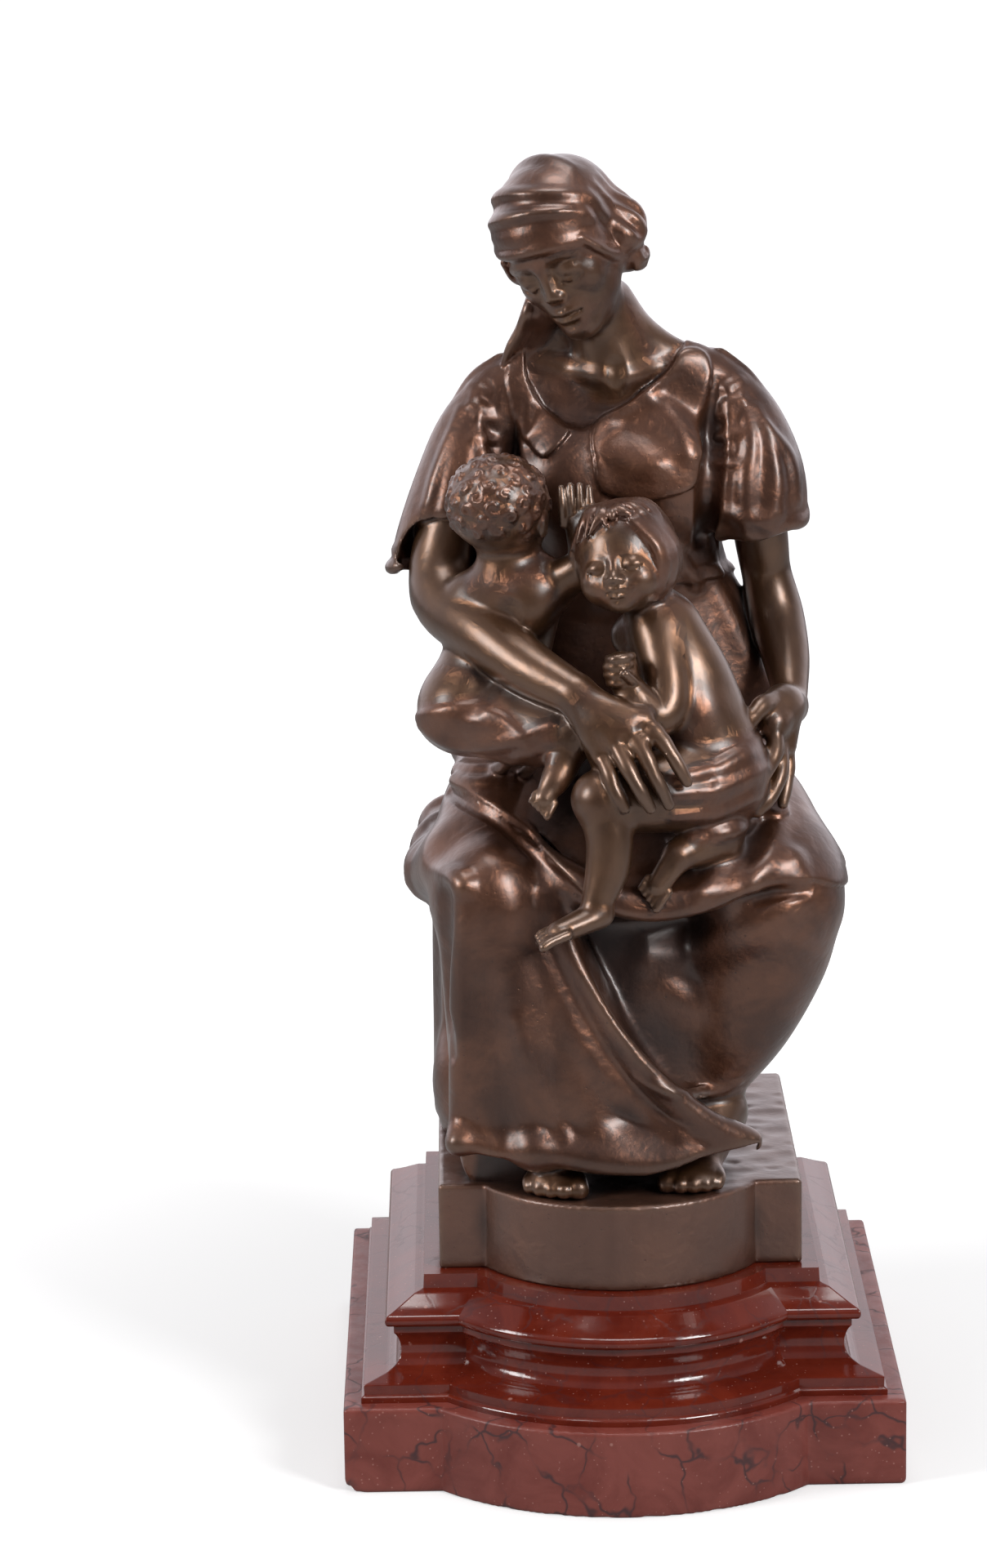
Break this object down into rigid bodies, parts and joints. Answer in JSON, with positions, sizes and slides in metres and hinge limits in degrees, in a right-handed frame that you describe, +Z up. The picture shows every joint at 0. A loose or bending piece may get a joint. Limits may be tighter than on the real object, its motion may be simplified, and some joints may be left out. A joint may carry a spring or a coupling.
{
  "type": "charity sculpture group",
  "caption": "Bronze figure group of a seated woman in a headscarf holding two infants, on a bow-fronted bronze base, a moulded red marble block and a marble slab.",
  "frame": {"origin": "middle of the slab's underside, which is the middle of the whole object's footprint", "axes": "+Z up; the figure and the bow of the plinth face -Y; +X is at the viewer's right, the seated figure's own left"},
  "size_m": [0.31, 0.353, 0.7194],
  "materials": {
    "patinated_bronze": "brown patina over cast bronze, waxed, satin with soft highlights",
    "polished_red_marble": "polished deep red marble with faint grey veins",
    "worn_red_marble": "duller red marble with a network of grey veins and small chips at the edges"
  },
  "bodies": {
    "root": {"bronze_figure_group": "patinated_bronze", "marble_moulded_block": "polished_red_marble", "marble_slab": "worn_red_marble"}
  },
  "joints": []
}
